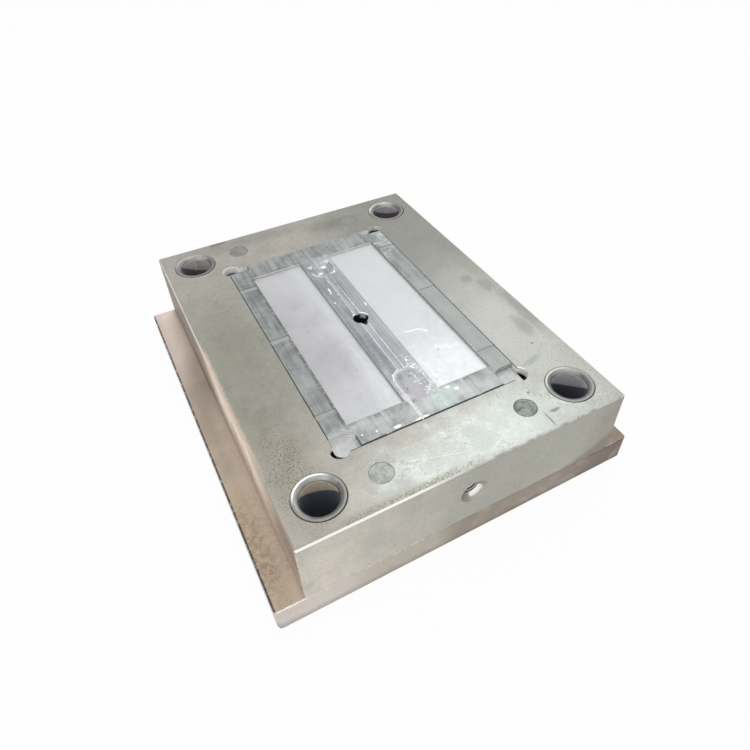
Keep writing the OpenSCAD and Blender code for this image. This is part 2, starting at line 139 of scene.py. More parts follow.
class Finish(Shader):  # a material on Object coordinates in millimetres, with the noises it is given
    def __init__(self, name, patterns):
        super().__init__(bpy.data.materials.new(name))
        self.place = self.add("TexCoord", {}, {}, "Object")
        scaled = self.add("VectorMath", {"operation": "SCALE"}, {"Vector": self.place, "Scale": 1 / mm})
        self.x, self.y, self.z = [self.add("SeparateXYZ", {}, {0: scaled}, axis) for axis in "XYZ"]
        self.ragged = None
        for pattern, numbers in patterns.items():
            setattr(self, pattern, self.noise(*numbers))

    def turned(self, angle, stretch):  # Object coordinates, turned and stretched
        spun = self.add("VectorRotate", {"rotation_type": "Z_AXIS"}, {"Vector": self.place, "Angle": angle})
        return self.add("VectorMath", {"operation": "MULTIPLY"}, {0: spun, 1: stretch})

    def noise(self, scale, detail, rough=0.5, warp=0.0, vector=None):
        sockets = {"Vector": vector or self.place, "Scale": scale, "Detail": detail}
        return self.add("TexNoise", {}, {**sockets, "Roughness": rough, "Distortion": warp})

    def dots(self, scale):  # the distance to the nearest of many scattered points
        sockets = {"Vector": self.place, "Scale": scale, "Randomness": 1.0}
        return self.add("TexVoronoi", {"feature": "F1"}, sockets, "Distance")

    def step(self, value, low, high, start=0.0, end=1.0):  # a soft step from start to end
        sockets = {"Value": value, "From Min": low, "From Max": high, "To Min": start, "To Max": end}
        return self.add("MapRange", {"interpolation_type": "SMOOTHSTEP"}, sockets)

    def fall(self, value, low, high):  # a soft step from 1 down to 0
        return self.step(value, low, high, 1.0, 0.0)

    def band(self, value, low, high, soft):  # 1 between two levels
        return self.step(value, low - soft, low) * self.fall(value, high, high + soft)

    def floorAt(self, depth, half, soft):  # 1 on a floor this deep below the parting face
        return self.band(self.z, partingZ - depth - half, partingZ - depth + half, soft)

    def past(self, high):  # how far out of a plate's upright sides a point lies, less than nought inside
        return (abs(self.x) - high[0]).atLeast(abs(self.y) - high[1])

    def mix(self, mask, first, second, blend="MIX"):  # two colours
        first, second = [(*c, 1) if isinstance(c, tuple) else c for c in (first, second)]
        return self.add("Mix", {"data_type": "RGBA", "blend_type": blend}, {0: mask, 6: first, 7: second}, 2)

    def shaded(self, color, shade):  # a colour made lighter or darker by a share
        light = 1.0 + shade
        return self.mix(1.0, color, self.add("CombineColor", {}, {c: light for c in range(3)}), "MULTIPLY")

    def edge(self):  # the noise that makes the edges of stains ragged
        if self.ragged is None:
            self.ragged = self.noise(70, 5, 0.62) - 0.5
        return self.ragged

    def blot(self, centre, size, ragged, soft=0.5, turn=0.0):  # a stain on a level face
        c, s = math.cos(turn), math.sin(turn)
        across, along = self.x - centre[0], self.y - centre[1]
        u = (across * c + along * s) / size[0]
        v = (along * c - across * s) / size[1]
        return self.fall(fromCentre(u, v) + self.edge() * (2 * ragged), 1 - soft, 1 + soft * 0.4)

    def blots(self, rows):  # stains with their centre, size, raggedness, softness and strength
        return strongest([self.blot(*shape) * strength for *shape, strength in rows])

    def stroke(self, start, end, width, fade=0.6, waver=1.5):  # a thin straight mark on a level face
        length = math.dist(start, end)
        ux, uy = [(b - a) / length for a, b in zip(start, end)]
        across, forth = self.x - start[0], self.y - start[1]
        along = across * ux + forth * uy
        off = abs(forth * ux - across * uy + self.edge() * (width * waver))
        beyond = (abs(along - length / 2) - length / 2).atLeast(0.0)
        return self.fall(off + beyond, width * (1 - fade) / 2, width * (1 + fade) / 2)

    def done(self, color, roughness, metallic, height, depth):  # depth of the bump in millimetres
        bump = self.add("Bump", {}, {"Height": height, "Strength": 1.0, "Distance": depth * mm})
        sockets = {"Base Color": color, "Roughness": roughness, "Metallic": metallic, "Normal": bump}
        self.add("OutputMaterial", {}, {"Surface": self.add("BsdfPrincipled", {}, sockets)})
        return self.owner


def addObject(bm, name):
    mesh = bpy.data.meshes.new(name)
    bm.to_mesh(mesh)
    bm.free()
    made = bpy.data.objects.new(name, mesh)
    bpy.context.scene.collection.objects.link(made)
    return made


# Camera, at the photograph's angle; the vectors are its right, up and view directions
shot = {
    "place": (-0.1884, -0.4152, 0.4874),
    "right": (0.8811, -0.4726, -0.0161),
    "up": (0.3342, 0.5983, 0.7282),
    "view": (0.3345, 0.6471, -0.6851),
    "sensor": 36,
    "lens": 29.19,
    "shift": (-0.0141, -0.0279),
    "nearest": 0.01,
}


def makeCamera():
    data = bpy.data.cameras.new("camera")
    data.sensor_width = shot["sensor"]
    data.lens = shot["lens"]
    data.shift_x, data.shift_y = shot["shift"]
    data.clip_start = shot["nearest"]
    camera = bpy.data.objects.new("camera", data)
    axes = [Vector(shot["right"]), Vector(shot["up"]), -Vector(shot["view"])]
    camera.matrix_world = Matrix.Translation(shot["place"]) @ Matrix(axes).transposed().to_4x4()
    bpy.context.scene.collection.objects.link(camera)
    bpy.context.scene.camera = camera


# Light: each lamp is a square sheet with its place, side in metres and power in watts, turned to the mould
lamps = {
    "window": {"place": (0.75, 0.75, 1.35), "side": 0.9, "power": 3.2},
    "softbox": {"place": (-0.9, -0.7, 1.3), "side": 1.0, "power": 2.2},
    "skylight": {"place": (0.1, 0.1, 1.9), "side": 1.6, "power": 3.4},
}
studio = {
    "aim": (0, 0, 0.08),
    "white": (1, 1, 1, 1),
    "sky": 0.5,
    "floorSide": 6.0,
    "floorGlow": 0.97,
    "floor": (0.93, 0.93, 0.93, 1),
}


def makeLights():
    for name, lamp in lamps.items():
        data = bpy.data.lights.new(name, "AREA")
        data.size = lamp["side"]
        data.energy = lamp["power"]
        light = bpy.data.objects.new(name, data)
        place = Vector(lamp["place"])
        turn = (Vector(studio["aim"]) - place).to_track_quat("-Z", "Y").to_matrix().to_4x4()
        light.matrix_world = Matrix.Translation(place) @ turn
        bpy.context.scene.collection.objects.link(light)


def seenRays(shader):  # 1 for camera, glossy and transmission rays
    kinds = ("Camera", "Glossy", "Transmission")
    return strongest([shader.add("LightPath", {}, {}, f"Is {kind} Ray") for kind in kinds])


def makeWorld():
    world = bpy.data.worlds.new("studio")
    bpy.context.scene.world = world
    shader = Shader(world)
    sky = shader.add("Background", {}, {"Color": studio["white"], "Strength": studio["sky"]})
    backdrop = shader.add("Background", {}, {"Color": studio["white"], "Strength": 1.0})
    both = shader.add("MixShader", {}, {0: seenRays(shader), 1: sky, 2: backdrop})
    shader.add("OutputWorld", {}, {"Surface": both})


def makeFloor():
    bm = bmesh.new()
    bmesh.ops.create_grid(bm, x_segments=1, y_segments=1, size=studio["floorSide"] / 2)
    floor = addObject(bm, "floor")
    shader = Shader(bpy.data.materials.new("paleFloor"))
    matt = shader.add("BsdfDiffuse", {}, {"Color": studio["floor"]})
    glow = shader.add("Emission", {}, {"Color": studio["white"], "Strength": 1.0})
    share = seenRays(shader) * studio["floorGlow"]
    both = shader.add("MixShader", {}, {0: share, 1: matt, 2: glow})
    shader.add("OutputMaterial", {}, {"Surface": both})
    floor.data.materials.append(shader.owner)


bpy.context.scene.view_settings.view_transform = "Standard"
makeCamera()
makeLights()
makeWorld()
makeFloor()
print("studio: camera,", len(lamps), "lamps, world and floor")

# Cavity plate: ground steel, chalky residue and a painted highlight at the front, neutral at the right,
# speckled at the front left.
# A pattern has its scale, detail, roughness and warp; a blot its centre, size, raggedness, softness and
# strength; a scratch its two ends, width and strength.
plate = {
    "middle": tone(151, 150, 140),
    "leftEnds": tone(171, 167, 160),
    "rightBack": tone(140, 140, 134),
    "rightFrontSheen": tone(172, 172, 166),
    "residueAndSheen": tone(200, 208, 203),
    "chalk": tone(218, 222, 217),
    "dull": tone(122, 123, 116),
    "ochre": tone(150, 142, 116),
    "green": tone(124, 146, 134),
    "speckle": tone(92, 86, 68),
    "worn": tone(224, 224, 217),
    "warmHighlight": tone(232, 208, 190),
    "edgeHighlight": tone(255, 255, 252),
    "gapShadow": tone(34, 36, 36),
    "end": tone(178, 177, 167),
    "endLeft": tone(222, 214, 203),
    "endCool": tone(170, 173, 164),
    "endDark": tone(134, 122, 112),
    "brown": tone(152, 138, 126),
    "flankFront": tone(208, 189, 174),
    "flankBack": tone(132, 120, 108),
    "flankHigh": tone(126, 115, 106),
    "flankLit": tone(252, 235, 220),
    "flankCorner": tone(158, 140, 124),
    "pocket": tone(255, 255, 252),
    "pocketShade": tone(24, 24, 23),
    "cone": tone(252, 251, 247),
    "coneDull": tone(148, 147, 143),
    "coneRight": tone(172, 170, 161),
    "pit": tone(84, 82, 76),
    "gapWidth": 0.5,
    "gapWidens": (-138, -137),
    "gapFades": (136, 139),
    "holeZ": 73.0,
    "coneRadii": (6.7, 12.6),
    "coneReach": (193.5, 199.6),
    "relief": (86.5, 136.5),
    "reliefRadius": 7.6,
    "roughness": (0.38, 0.58),
    "metallic": 0.82,
    "bump": 0.06,
    "patterns": {
        "cloud": (11, 4, 0.55, 0.7),
        "patches": (24, 7, 0.62, 0.25),
        "mottle": (170, 6, 0.7),
        "speck": (620, 5, 0.8),
        "grain": (1300, 3, 0.8),
    },
    "dullBlots": (
        ((46, 172), (30, 17), 0.5, 0.8, 0.7),
        ((-48, 186), (76, 15), 0.5, 0.9, 0.4),
        ((144, -62), (8, 44), 0.9, 0.8, 0.5),
        ((130, -84), (8, 17), 0.6, 0.5, 0.4),
        ((125, 3), (7, 7), 0.5, 0.3, 0.4),
        ((137, -14), (9, 13), 0.9, 0.5, 0.4),
        ((-84, 196), (12, 3), 0.5, 0.6, 0.8),
    ),
    "stainBlots": (
        ((-128, -134), (24, 78), 0.6, 0.9, 1.0),
        ((-60, -197), (90, 5), 0.6, 0.9, 1.0),
        ((-124, 20), (22, 60), 0.8, 0.9, 0.3),
    ),
    "dripBlots": (
        ((87, -184), (5.5, 2.4), 1.1, 0.5, 0.8),
        ((77.5, -190), (1.0, 9), 0.4, 0.5, 0.8),
        ((122, -109.5), (1.5, 1.5), 0.3, 0.4, 0.8),
        ((67, -176), (1.1, 1.1), 0.3, 0.4, 0.8),
        ((80, -158), (1.4, 1.4), 0.3, 0.4, 0.8),
        ((-60, 112), (1.0, 1.0), 0.3, 0.4, 0.8),
    ),
    "scratches": (
        ((-44, -171), (2, -186), 0.8, 1.0),
        ((-40, -177), (-4, -172), 0.6, 0.6),
        ((-30, -184), (8, -177), 0.6, 0.6),
        ((-22, -170), (-12, -187), 0.6, 0.6),
        ((34, -160), (-46, -159), 0.6, 0.6),
    ),
}


def plateFace(f):  # lighter towards the left corners, neutral at the right, chalky residue and a painted highlight over the front
    x, y, cloud, patches = f.x, f.y, f.cloud, f.patches
    face = f.mix(f.step(abs(y + 12) + cloud.sway(90), 10, 190), plate["middle"], plate["leftEnds"])
    # the right side grows lighter towards the front: a painted highlight
    right = f.mix(f.fall(y + cloud.sway(90), -70, 80), plate["rightBack"], plate["rightFrontSheen"])
    face = f.mix(f.step(x + cloud.sway(100), -10, 95), face, right)
    # over the front: chalky residue, partly real and partly a painted reflection of the lamp
    residueAndSheenArea = f.blot((24, -184), (112, 46), 0.5, 0.75)
    pale = residueAndSheenArea.atLeast(f.blot((117, -100), (28, 92), 0.4, 0.4) * 0.2)
    face = f.mix(pale * f.step(patches, 0.3, 0.62, 0.62, 1.0), face, plate["residueAndSheen"])
    chalkAndSheen = f.blot((18, -178), (76, 30), 0.6, 0.8) * f.step(patches, 0.4, 0.56)
    face = f.mix(chalkAndSheen * 0.75, face, plate["chalk"])
    face = f.mix(f.blots(plate["dullBlots"]), face, plate["dull"])
    stained = f.blots(plate["stainBlots"])
    face = f.mix(stained * f.step(f.mottle, 0.42, 0.6) * 0.45, face, plate["ochre"])
    face = f.mix(stained * f.step(f.speck, 0.48, 0.6) * 0.9, face, plate["speckle"])
    tint = f.blot((106, -128), (13, 3.6), 0.7, 0.6, 0.25).atLeast(f.blot((76, -192), (3, 12), 0.5, 0.6) * 0.7)
    face = f.mix(tint * f.step(patches, 0.3, 0.6) * 0.5, face, plate["green"])
    rings = f.band(abs(patches - 0.5), 0.0, 0.006, 0.008) * f.step(residueAndSheenArea, 0.1, 0.5)
    return f.mix(rings * 0.3, face, plate["dull"])


def plateMarks(f, face):  # scratches, pits and drips, with a mask of how deep they go
    scratched = strongest([f.stroke(*line) * strength for *line, strength in plate["scratches"]])
    face = f.mix(scratched * 0.55, face, plate["worn"])
    pits = f.fall(f.dots(85), 0.03, 0.07) * f.step(f.cloud, 0.46, 0.56)
    pits = pits.atLeast(f.blots(plate["dripBlots"]))
    return f.mix(pits * 0.7, face, plate["pit"]), pits + scratched * 0.4


def plateSides(f):
    x, y, z, cloud, patches = f.x, f.y, f.z, f.cloud, f.patches

    # the front and back ends: paler at the left, darker and browner low down and towards the right
    end = f.mix(f.fall(x + cloud.sway(90), -160, 5), plate["end"], plate["endLeft"])
    end = f.mix(f.step(patches + cloud.sway(0.4), 0.42, 0.66) * 0.4, end, plate["endCool"])
    lowDarkening = f.fall(z * 1.2 - (x - 95).atLeast(0.0) * 0.6 + patches.sway(30), seamZ - 4, seamZ + 10)
    end = f.mix(lowDarkening * 0.7, end, plate["endDark"])
    end = f.mix(f.step(x + patches.sway(40), 112, 140) * 0.35, end, plate["endDark"])
    seam = f.fall(z + patches.sway(8), seamZ + 0.2, seamZ + 2.4)
    end = f.mix(seam * 0.45, end, plate["brown"])

    # the long flanks: brown, with a warm light high up towards the front
    high = f.step(z + patches.sway(12), seamZ + 8, partingZ - 8)
    flank = f.mix(high, plate["flankBack"], plate["flankHigh"])
    flank = f.mix(f.step(y + cloud.sway(80), -50, 90, 0.85, 0.0), flank, plate["flankFront"])
    lit = f.fall(y + cloud.sway(50), -30, 40) * f.step(y + patches.sway(50), -170, -88)
    lit = lit * f.step(z + patches.sway(10), seamZ + 8, partingZ - 10)
    flank = f.mix(lit, flank, plate["flankLit"])
    corner = f.fall(y + patches.sway(30), -172, -140) * f.step(z, seamZ + 14, seamZ + 50)
    flank = f.mix(corner, flank, plate["flankCorner"])
    streaks = f.noise(60, 4, 0.6, 0.4, f.turned(0, (1, 1, 0.3)))
    flank = f.mix(f.step(streaks, 0.52, 0.66) * 0.3, flank, plate["brown"])
    return f.mix(f.step(abs(y), plateHigh[1] - 2, plateHigh[1] - 0.5), flank, end)


def plateEdges(f, color, onFace):  # painted highlights on the chamfers: warm along the left, white along the front, broken at the right
    x, y, z, cloud, patches = f.x, f.y, f.z, f.cloud, f.patches
    rim = f.past(plateHigh)
    nearEdge = f.step(rim + f.mottle.sway(6), -3.4, 0.2) * f.step(z, partingZ - 3.5, partingZ - 0.6)
    color = f.mix(nearEdge * 0.25, color, plate["brown"])
    chamfer = f.band(rim, -1.15, 0.2, 0.25) * f.band(z, partingZ - 1.3, partingZ - 0.02, 0.2)
    broken = f.step(f.noise(90, 4, 0.7), 0.44, 0.56)
    onFront = f.fall(y, plateLow[1] + 1.6, plateLow[1] + 2.2)
    crisp = f.fall(x + cloud.sway(60), -70, 30).atLeast(broken * 0.35)
    warmLeft = f.fall(x, plateLow[0] + 1.6, plateLow[0] + 2.4)
    warmLeft = warmLeft * f.step(y + cloud.sway(30), 10, 60, 1.0, 0.2)
    # the worn colour serves here as a painted highlight on the chamfers, warm at the left and white at the
    # front
    worn = f.mix(warmLeft, plate["worn"], plate["warmHighlight"])
    worn = f.mix(onFront, worn, plate["edgeHighlight"])
    alongSide = f.step(y + patches.sway(50), -150, -95, 0.1, 1.0)
    strength = f.step(patches, 0.36, 0.56, 0.25, 0.9) * (1.0 - onFront) * alongSide + crisp * onFront
    color = f.mix(chamfer * strength, color, worn)
    # a painted highlight on the front face's left upright edge
    upright = f.fall(x, plateLow[0] + 0.9, plateLow[0] + 1.3) * onFront * (1.0 - onFace)
    color = f.mix(upright * broken * 0.6, color, plate["worn"])
    # a painted warm highlight along the left flank just below the top edge
    warmBandHighlight = f.fall(x, plateLow[0] + 1, plateLow[0] + 5) * f.fall(y + cloud.sway(30), 10, 50) * alongSide
    warmBandHighlight = warmBandHighlight * f.step(z, partingZ - 3, partingZ - 1.4) * 0.55
    return f.mix(warmBandHighlight, color, plate["warmHighlight"]), chamfer


def plateOpenings(f, color, onFace):  # the eyebolt holes' cones, the pocket and the gap round the insert, with painted light and shade
    x, y, mottle = f.x, f.y, f.mottle
    up, depth = f.z - plate["holeZ"], partingZ - f.z
    radius = fromCentre(x, up)
    cone = f.band(radius, *plate["coneRadii"], 0.3) * f.band(abs(y), *plate["coneReach"], 0.3)
    # a painted highlight on the lower right of each cone
    coneHighlightMask = f.step((x * 0.65 - up * 0.76) / radius + mottle.sway(0.3), 0.5, 0.8)
    coneHighlightMask = coneHighlightMask * f.step(radius + mottle.sway(2), 8.6, 10.4, 1.0, 0.1)
    leftCone = f.mix(f.step(x, -8, 6), plate["coneDull"], plate["coneRight"])
    color = f.mix(cone, color, f.mix(coneHighlightMask, leftCone, plate["cone"]))

    outward = f.past(insertHigh)
    cornerY = abs(y) - plate["relief"][1]
    fromRelief = fromCentre(abs(x) - plate["relief"][0], cornerY) + mottle.sway(1.2)
    farSide = f.step(cornerY * f.step(y, -1, 1, -1.0, 1.0), 0, 5) * f.step(x * y, -1, 1, 0.5, 0.0)
    # a painted highlight on the far lip of each corner relief
    lip = f.band(fromRelief, plate["reliefRadius"], plate["reliefRadius"] + 1.6, 0.6)
    lip = lip * f.step(outward, 0.2, 0.8) * onFace
    color = f.mix(lip * farSide, color, plate["edgeHighlight"])
    # the pocket's walls: painted light high up, painted shade deeper down, and a painted shadow in the back
    # right slit
    deepShade = f.step(depth + mottle.sway(3) - f.step(y, 0, 1) * f.step(x, -1, 1, 1.5, 0.4), 5, 7.5)
    wall = f.mix(deepShade, plate["pocket"], plate["pocketShade"])
    slitShadow = f.blot((94, 131), (4.5, 3.6), 0.2, 0.4)
    pocket = f.fall(outward, 4.4, 4.9) * f.step(depth, 0.1, 0.5)
    color = f.mix(pocket, color, f.mix(slitShadow, wall, plate["pocketShade"]))
    # a painted shadow line along the gap round the insert, wider at the front
    wide = f.fall(y, *plate["gapWidens"]) * 0.7
    gapShadow = f.fall(abs(outward + mottle.sway(0.4)) - wide, plate["gapWidth"] * 0.4, plate["gapWidth"])
    gapShadow = gapShadow * onFace * f.step(y, *plate["gapFades"], 0.9, 0.15)
    return f.mix(gapShadow, color, plate["gapShadow"]), pocket


def plateFinish():
    f = Finish("plateSteel", plate["patterns"])
    smear = f.noise(40, 5, 0.62, 0.6, f.turned(0.6, (1, 0.5, 1)))
    face, dents = plateMarks(f, plateFace(f))
    onFace = f.step(f.z, partingZ - 1.6, partingZ - 0.1)
    color, chamfer = plateEdges(f, f.mix(onFace, plateSides(f), face), onFace)
    color, pocket = plateOpenings(f, color, onFace)
    coarse = f.blot((128, -168), (34, 66), 0.5, 0.9) * onFace
    shade = f.mottle.sway(0.6) + f.patches.sway(0.42) + smear.sway(0.25) + f.grain.sway(0.5)
    shade = (shade + (f.speck - 0.5) * (coarse * 1.2 + 0.8)) * (1.0 - chamfer * 0.7)
    rough = f.step(f.mottle + f.patches.sway(0.8), 0.2, 0.8, *plate["roughness"])
    height = f.grain * 0.3 + f.mottle * 0.6 - dents
    metallic = plate["metallic"] - pocket * 0.8
    return f.done(f.shaded(color, shade), rough, metallic, height, plate["bump"])


# Clamp plate: warm brown where hands and clamps reach, speckled at the front, a painted highlight along its
# front edge
clamp = {
    "brown": tone(204, 189, 174),
    "dark": tone(160, 145, 132),
    "grey": tone(186, 174, 160),
    "pink": tone(200, 178, 166),
    "pale": tone(236, 220, 210),
    "endPale": tone(224, 216, 208),
    "endMid": tone(194, 187, 175),
    "endDark": tone(160, 148, 136),
    "endBrown": tone(128, 113, 105),
    "olive": tone(122, 106, 80),
    "yellow": tone(210, 195, 170),
    "rust": tone(168, 138, 120),
    "edge": tone(255, 254, 250),
    "seam": tone(92, 80, 70),
    "black": tone(52, 44, 40),
    "roughness": (0.42, 0.62),
    "metallic": 0.7,
    "bump": 0.09,
    "patterns": {
        "cloud": (13, 4, 0.55, 0.8),
        "patches": (30, 7, 0.62, 0.3),
        "mottle": (210, 6, 0.72),
        "speck": (1000, 5, 0.85),
        "grain": (1400, 3, 0.8),
    },
}


def clampLedges(f):  # pale pink at the back, yellowish with fine specks at the front
    x, y, cloud, patches, mottle = f.x, f.y, f.cloud, f.patches, f.mottle
    outward = abs(x) - plateHigh[0]  # from the cavity plate's side
    top = f.mix(f.step(patches + cloud.sway(0.4), 0.4, 0.6), clamp["brown"], clamp["grey"])
    paleBack = f.step(y + (outward - 12) * 2 + cloud.sway(60), 66, 124) * f.step(outward, 1, 6, 0.5, 1.0)
    paleBack = paleBack.atLeast(f.blot((clampLow[0] + 12, 134), (16, 38), 0.3, 0.8))
    top = f.mix(paleBack, top, clamp["pale"])
    shadowed = f.fall(outward + patches.sway(12) - f.step(y, 20, 140) * 8, -2, 8)
    shadowed = shadowed * f.step(y + cloud.sway(40), 10, 60)
    top = f.mix(shadowed * 0.06, top, clamp["dark"])
    top = f.mix(f.fall(y + cloud.sway(60), -110, -40) * 0.65, top, clamp["yellow"])
    speckled = f.step(y + patches.sway(60), -130, -60, 1.0, 0.15) * f.step(y, -190, -165, 0.6, 1.0)
    spots = f.step(f.speck + mottle.sway(0.5), 0.42, 0.58)
    top = f.mix(spots * speckled * 0.7, top, clamp["olive"])
    rust = f.blot((clampLow[0] + 10, -158), (17, 20), 0.5, 0.8) * f.step(mottle, 0.38, 0.6)
    top = f.mix(rust * 0.4, top, clamp["rust"])
    outer = f.step(outward, 15, 24) * f.step(y + cloud.sway(80), -150, 100)
    top = f.mix(outer * 0.3, top, clamp["pink"])
    inner = f.fall(outward, 5, 15) * f.fall(y + cloud.sway(60), 20, 60)
    top = f.mix(inner * 0.3, top, clamp["pale"])
    flecks = f.step(mottle + f.speck.sway(0.6), 0.62, 0.7)
    top = f.mix(flecks * 0.35, top, clamp["pale"])
    return f.mix(f.step(x, 0, 1) * 0.75, top, clamp["endBrown"])


def clampSides(f):  # pale at the left and brown at the right and along the foot
    x, cloud, patches = f.x, f.cloud, f.patches
    side = f.mix(f.step(x + cloud.sway(90), -150, -60), clamp["endPale"], clamp["endMid"])
    side = f.mix(f.step(x + cloud.sway(100), -60, 20), side, clamp["endDark"])
    side = f.mix(f.step(x + patches.sway(90), 80, 160), side, clamp["endBrown"])
    side = f.mix(f.step(patches, 0.5, 0.62) * 0.3, side, clamp["brown"])
    foot = f.fall(f.z + patches.sway(14), clampLow[2] + 2, clampLow[2] + 12)
    return f.mix(foot * f.step(x, 0, 110, 0.4, 0.8), side, clamp["endBrown"])


def clampEdges(f, color):  # a dotted painted highlight along the ends, a dark ragged line along the sides
    x, y, z, patches, mottle = f.x, f.y, f.z, f.patches, f.mottle
    rim = f.past(clampHigh)
    onEnd = f.step(abs(y) - clampHigh[1], -2.2, -1.6)
    thick = f.fall(x + patches.sway(30), -165, -125)
    # the ends' top edges: a painted highlight, thick at the left and dotted elsewhere
    lit = f.step(z + patches.sway(1.5), clampHigh[2] - 1.1, clampHigh[2] - 0.6)
    lit = lit * f.step(rim + mottle.sway(1.5), -1.7, -0.9)
    lit = lit * onEnd * f.step(x + f.cloud.sway(60), -40, 10, 1.0, 0.45)
    broken = f.step(f.noise(260, 5, 0.8, 0.0, f.turned(0, (1, 0.2, 0.2))), 0.42, 0.56)
    color = f.mix(lit * broken.atLeast(thick), color, clamp["edge"])
    ragged = f.band(rim, -1.5, 0.2, 0.3) * (1.0 - onEnd) * f.step(mottle, 0.36, 0.5, 0.3, 1.0)
    ragged = ragged * f.step(z, clampHigh[2] - 2.2, clampHigh[2] - 1.2)
    color = f.mix(ragged * 0.9, color, clamp["black"])
    lowEdge = f.band(rim, -1.6, 0.2, 0.3) * f.fall(z, clampLow[2] + 1.2, clampLow[2] + 2.2)
    return f.mix(lowEdge * 0.5, color, clamp["seam"])


def clampFinish():
    f = Finish("clampSteel", clamp["patterns"])
    onLedge = f.step(f.z, clampHigh[2] - 0.8, clampHigh[2] - 0.1)
    color = clampEdges(f, f.mix(onLedge, clampSides(f), clampLedges(f)))
    shade = f.mottle.sway(0.5) + f.patches.sway(0.3) + f.grain.sway(0.32) + f.speck.sway(0.5) * onLedge
    rough = f.step(f.mottle, 0.3, 0.7, *clamp["roughness"])
    height = f.mottle * 0.7 + f.grain * 0.3
    return f.done(f.shaded(color, shade), rough, clamp["metallic"], height, clamp["bump"])


# Cavity insert: bluish hardened steel, satin impressions with a painted sheen, pale vent floors, bright
# notches and residue.
# Drops and specks have their centre and size.
insert = {
    "face": tone(154, 158, 157),
    "faceDark": tone(126, 130, 130),
    "facePale": tone(188, 192, 190),
    "faceRight": tone(152, 155, 154),
    "barDark": tone(132, 134, 139),
    "bar": tone(156, 158, 162),
    "barRight": tone(164, 166, 169),
    "satin": tone(196, 196, 198),
    "satinDull": tone(176, 175, 178),
    "satinBright": tone(203, 205, 206),
    "satinFront": tone(220, 223, 224),
    "vent": tone(186, 189, 187),
    "runner": tone(206, 209, 213),
    "line": tone(212, 214, 216),
    "wall": tone(255, 255, 255),
    "longWallShade": tone(150, 151, 153),
    "white": tone(252, 253, 252),
    "mauve": tone(167, 164, 168),
    "mauvePale": tone(206, 203, 207),
    "notch": tone(250, 251, 250),
    "notchWall": tone(255, 255, 254),
    "notchRight": tone(164, 170, 166),
    "side": tone(26, 26, 25),
    "sprue": tone(34, 32, 31),
    "sprueLit": tone(235, 233, 233),
    "cut": tone(96, 94, 94),
    "gapShadow": tone(30, 32, 32),
    "green": tone(166, 194, 184),
    "impressionDepth": 2.5,
    "impressionHalf": 115.5,
    "ventDepth": 0.5,
    "notchDepth": 6.0,
    "barHalf": 16.5,
    "runnerHalf": 2.6,
    "sprueRadius": 7.5,
    "forkY": 92.0,
    "forkRadius": 10.0,
    "outletX": -12.5,
    "roughness": (0.36, 0.54),
    "metallic": 0.82,
    "bump": 0.05,
    "patterns": {
        "cloud": (15, 4, 0.55, 0.7),
        "patches": (45, 7, 0.65, 0.3),
        "mottle": (260, 6, 0.72),
        "grain": (1500, 3, 0.8),
    },
    "paleBlots": (((-84, -128), (12, 12), 0.5, 0.5, 0.7), ((18, -127), (46, 11), 0.6, 0.6, 0.7)),
    "foamBlots": (((9, -88), (7, 36), 0.5, 0.6, 1.0), ((0, 98), (15, 16), 0.5, 0.8, 0.7)),
    "frothBlots": (((9, -98), (9, 34), 0.5, 0.6, 1.0), ((4, 100), (12, 12), 0.5, 0.8, 0.45)),
    "drops": (
        ((-8.5, 55), (0.9, 4.2)),
        ((-9.2, 50), (0.9, 1.2)),
        ((-12, 33.5), (0.9, 1.0)),
        ((14, 18), (0.8, 3.4)),
        ((-10, 103.5), (3.0, 3.4)),
        ((10, 106), (3.0, 3.8)),
        ((2.6, 96), (3.2, 3.0)),
        ((-5, 86.5), (3.4, 1.8)),
        ((8, 83.5), (3.0, 2.2)),
        ((-35, -136.8), (3.8, 1.6)),
        ((-52, -133), (1.0, 1.0)),
        ((-64, -131), (0.8, 1.0)),
        ((9.5, -72.5), (1.0, 1.4)),
        ((13, -81), (1.2, 0.9)),
        ((-9.6, -84.6), (2.0, 1.8)),
        ((24, -119), (2.4, 1.4)),
        ((30, -124), (2.0, 1.6)),
    ),
    "barSpecks": (
        ((1.5, -91.5), (1.0, 1.2)),
        ((-7, -104), (0.9, 1.0)),
        ((9.5, -101.5), (0.9, 1.0)),
        ((-10, -119.5), (0.9, 1.0)),
        ((4.5, -86), (0.9, 1.0)),
        ((8, -95), (0.9, 1.0)),
    ),
    "satinSpecks": (
        ((43.5, -72.5), (1.2, 1.2)),
        ((26.5, -97), (0.8, 0.8)),
        ((22, -104), (0.8, 0.8)),
        ((-34, -60), (0.8, 0.8)),
        ((-52, 10), (0.8, 0.8)),
        ((36, 60), (0.8, 0.8)),
    ),
}


def insertFace(f):  # the shut-off face: streaked along the impressions, chalky ends, a lighter right strip
    x, y, patches, mottle = f.x, f.y, f.patches, f.mottle
    face = f.mix(f.step(patches * 0.5 + f.streaks * 0.5, 0.38, 0.6), insert["faceDark"], insert["face"])
    chalk = f.step(mottle * 0.5 + patches * 0.5, 0.4, 0.62) * f.step(y, 0, 1, 1.0, 0.25)
    chalk = chalk * f.step(abs(y) + f.cloud.sway(14), 112, 120)
    face = f.mix(chalk * 0.55, face, insert["facePale"])
    face = f.mix(f.blots(insert["paleBlots"]), face, insert["facePale"])
    rightStrip = f.step(x, 68, 72)
    face = f.mix(rightStrip * f.step(y + f.cloud.sway(40), 10, 30, 0.9, 0.25), face, insert["faceRight"])
    rightChalk = rightStrip * f.step(y, 60, 95) * f.step(patches + mottle.sway(0.6), 0.45, 0.6)
    face = f.mix(rightChalk * 0.7, face, insert["facePale"])
    fringe = f.band(x + f.edge() * 2, -73.2, -70.6, 0.6) * f.fall(abs(y), 110, 116)
    return f.mix(fringe * f.step(mottle, 0.4, 0.55) * 0.75, face, insert["cut"])


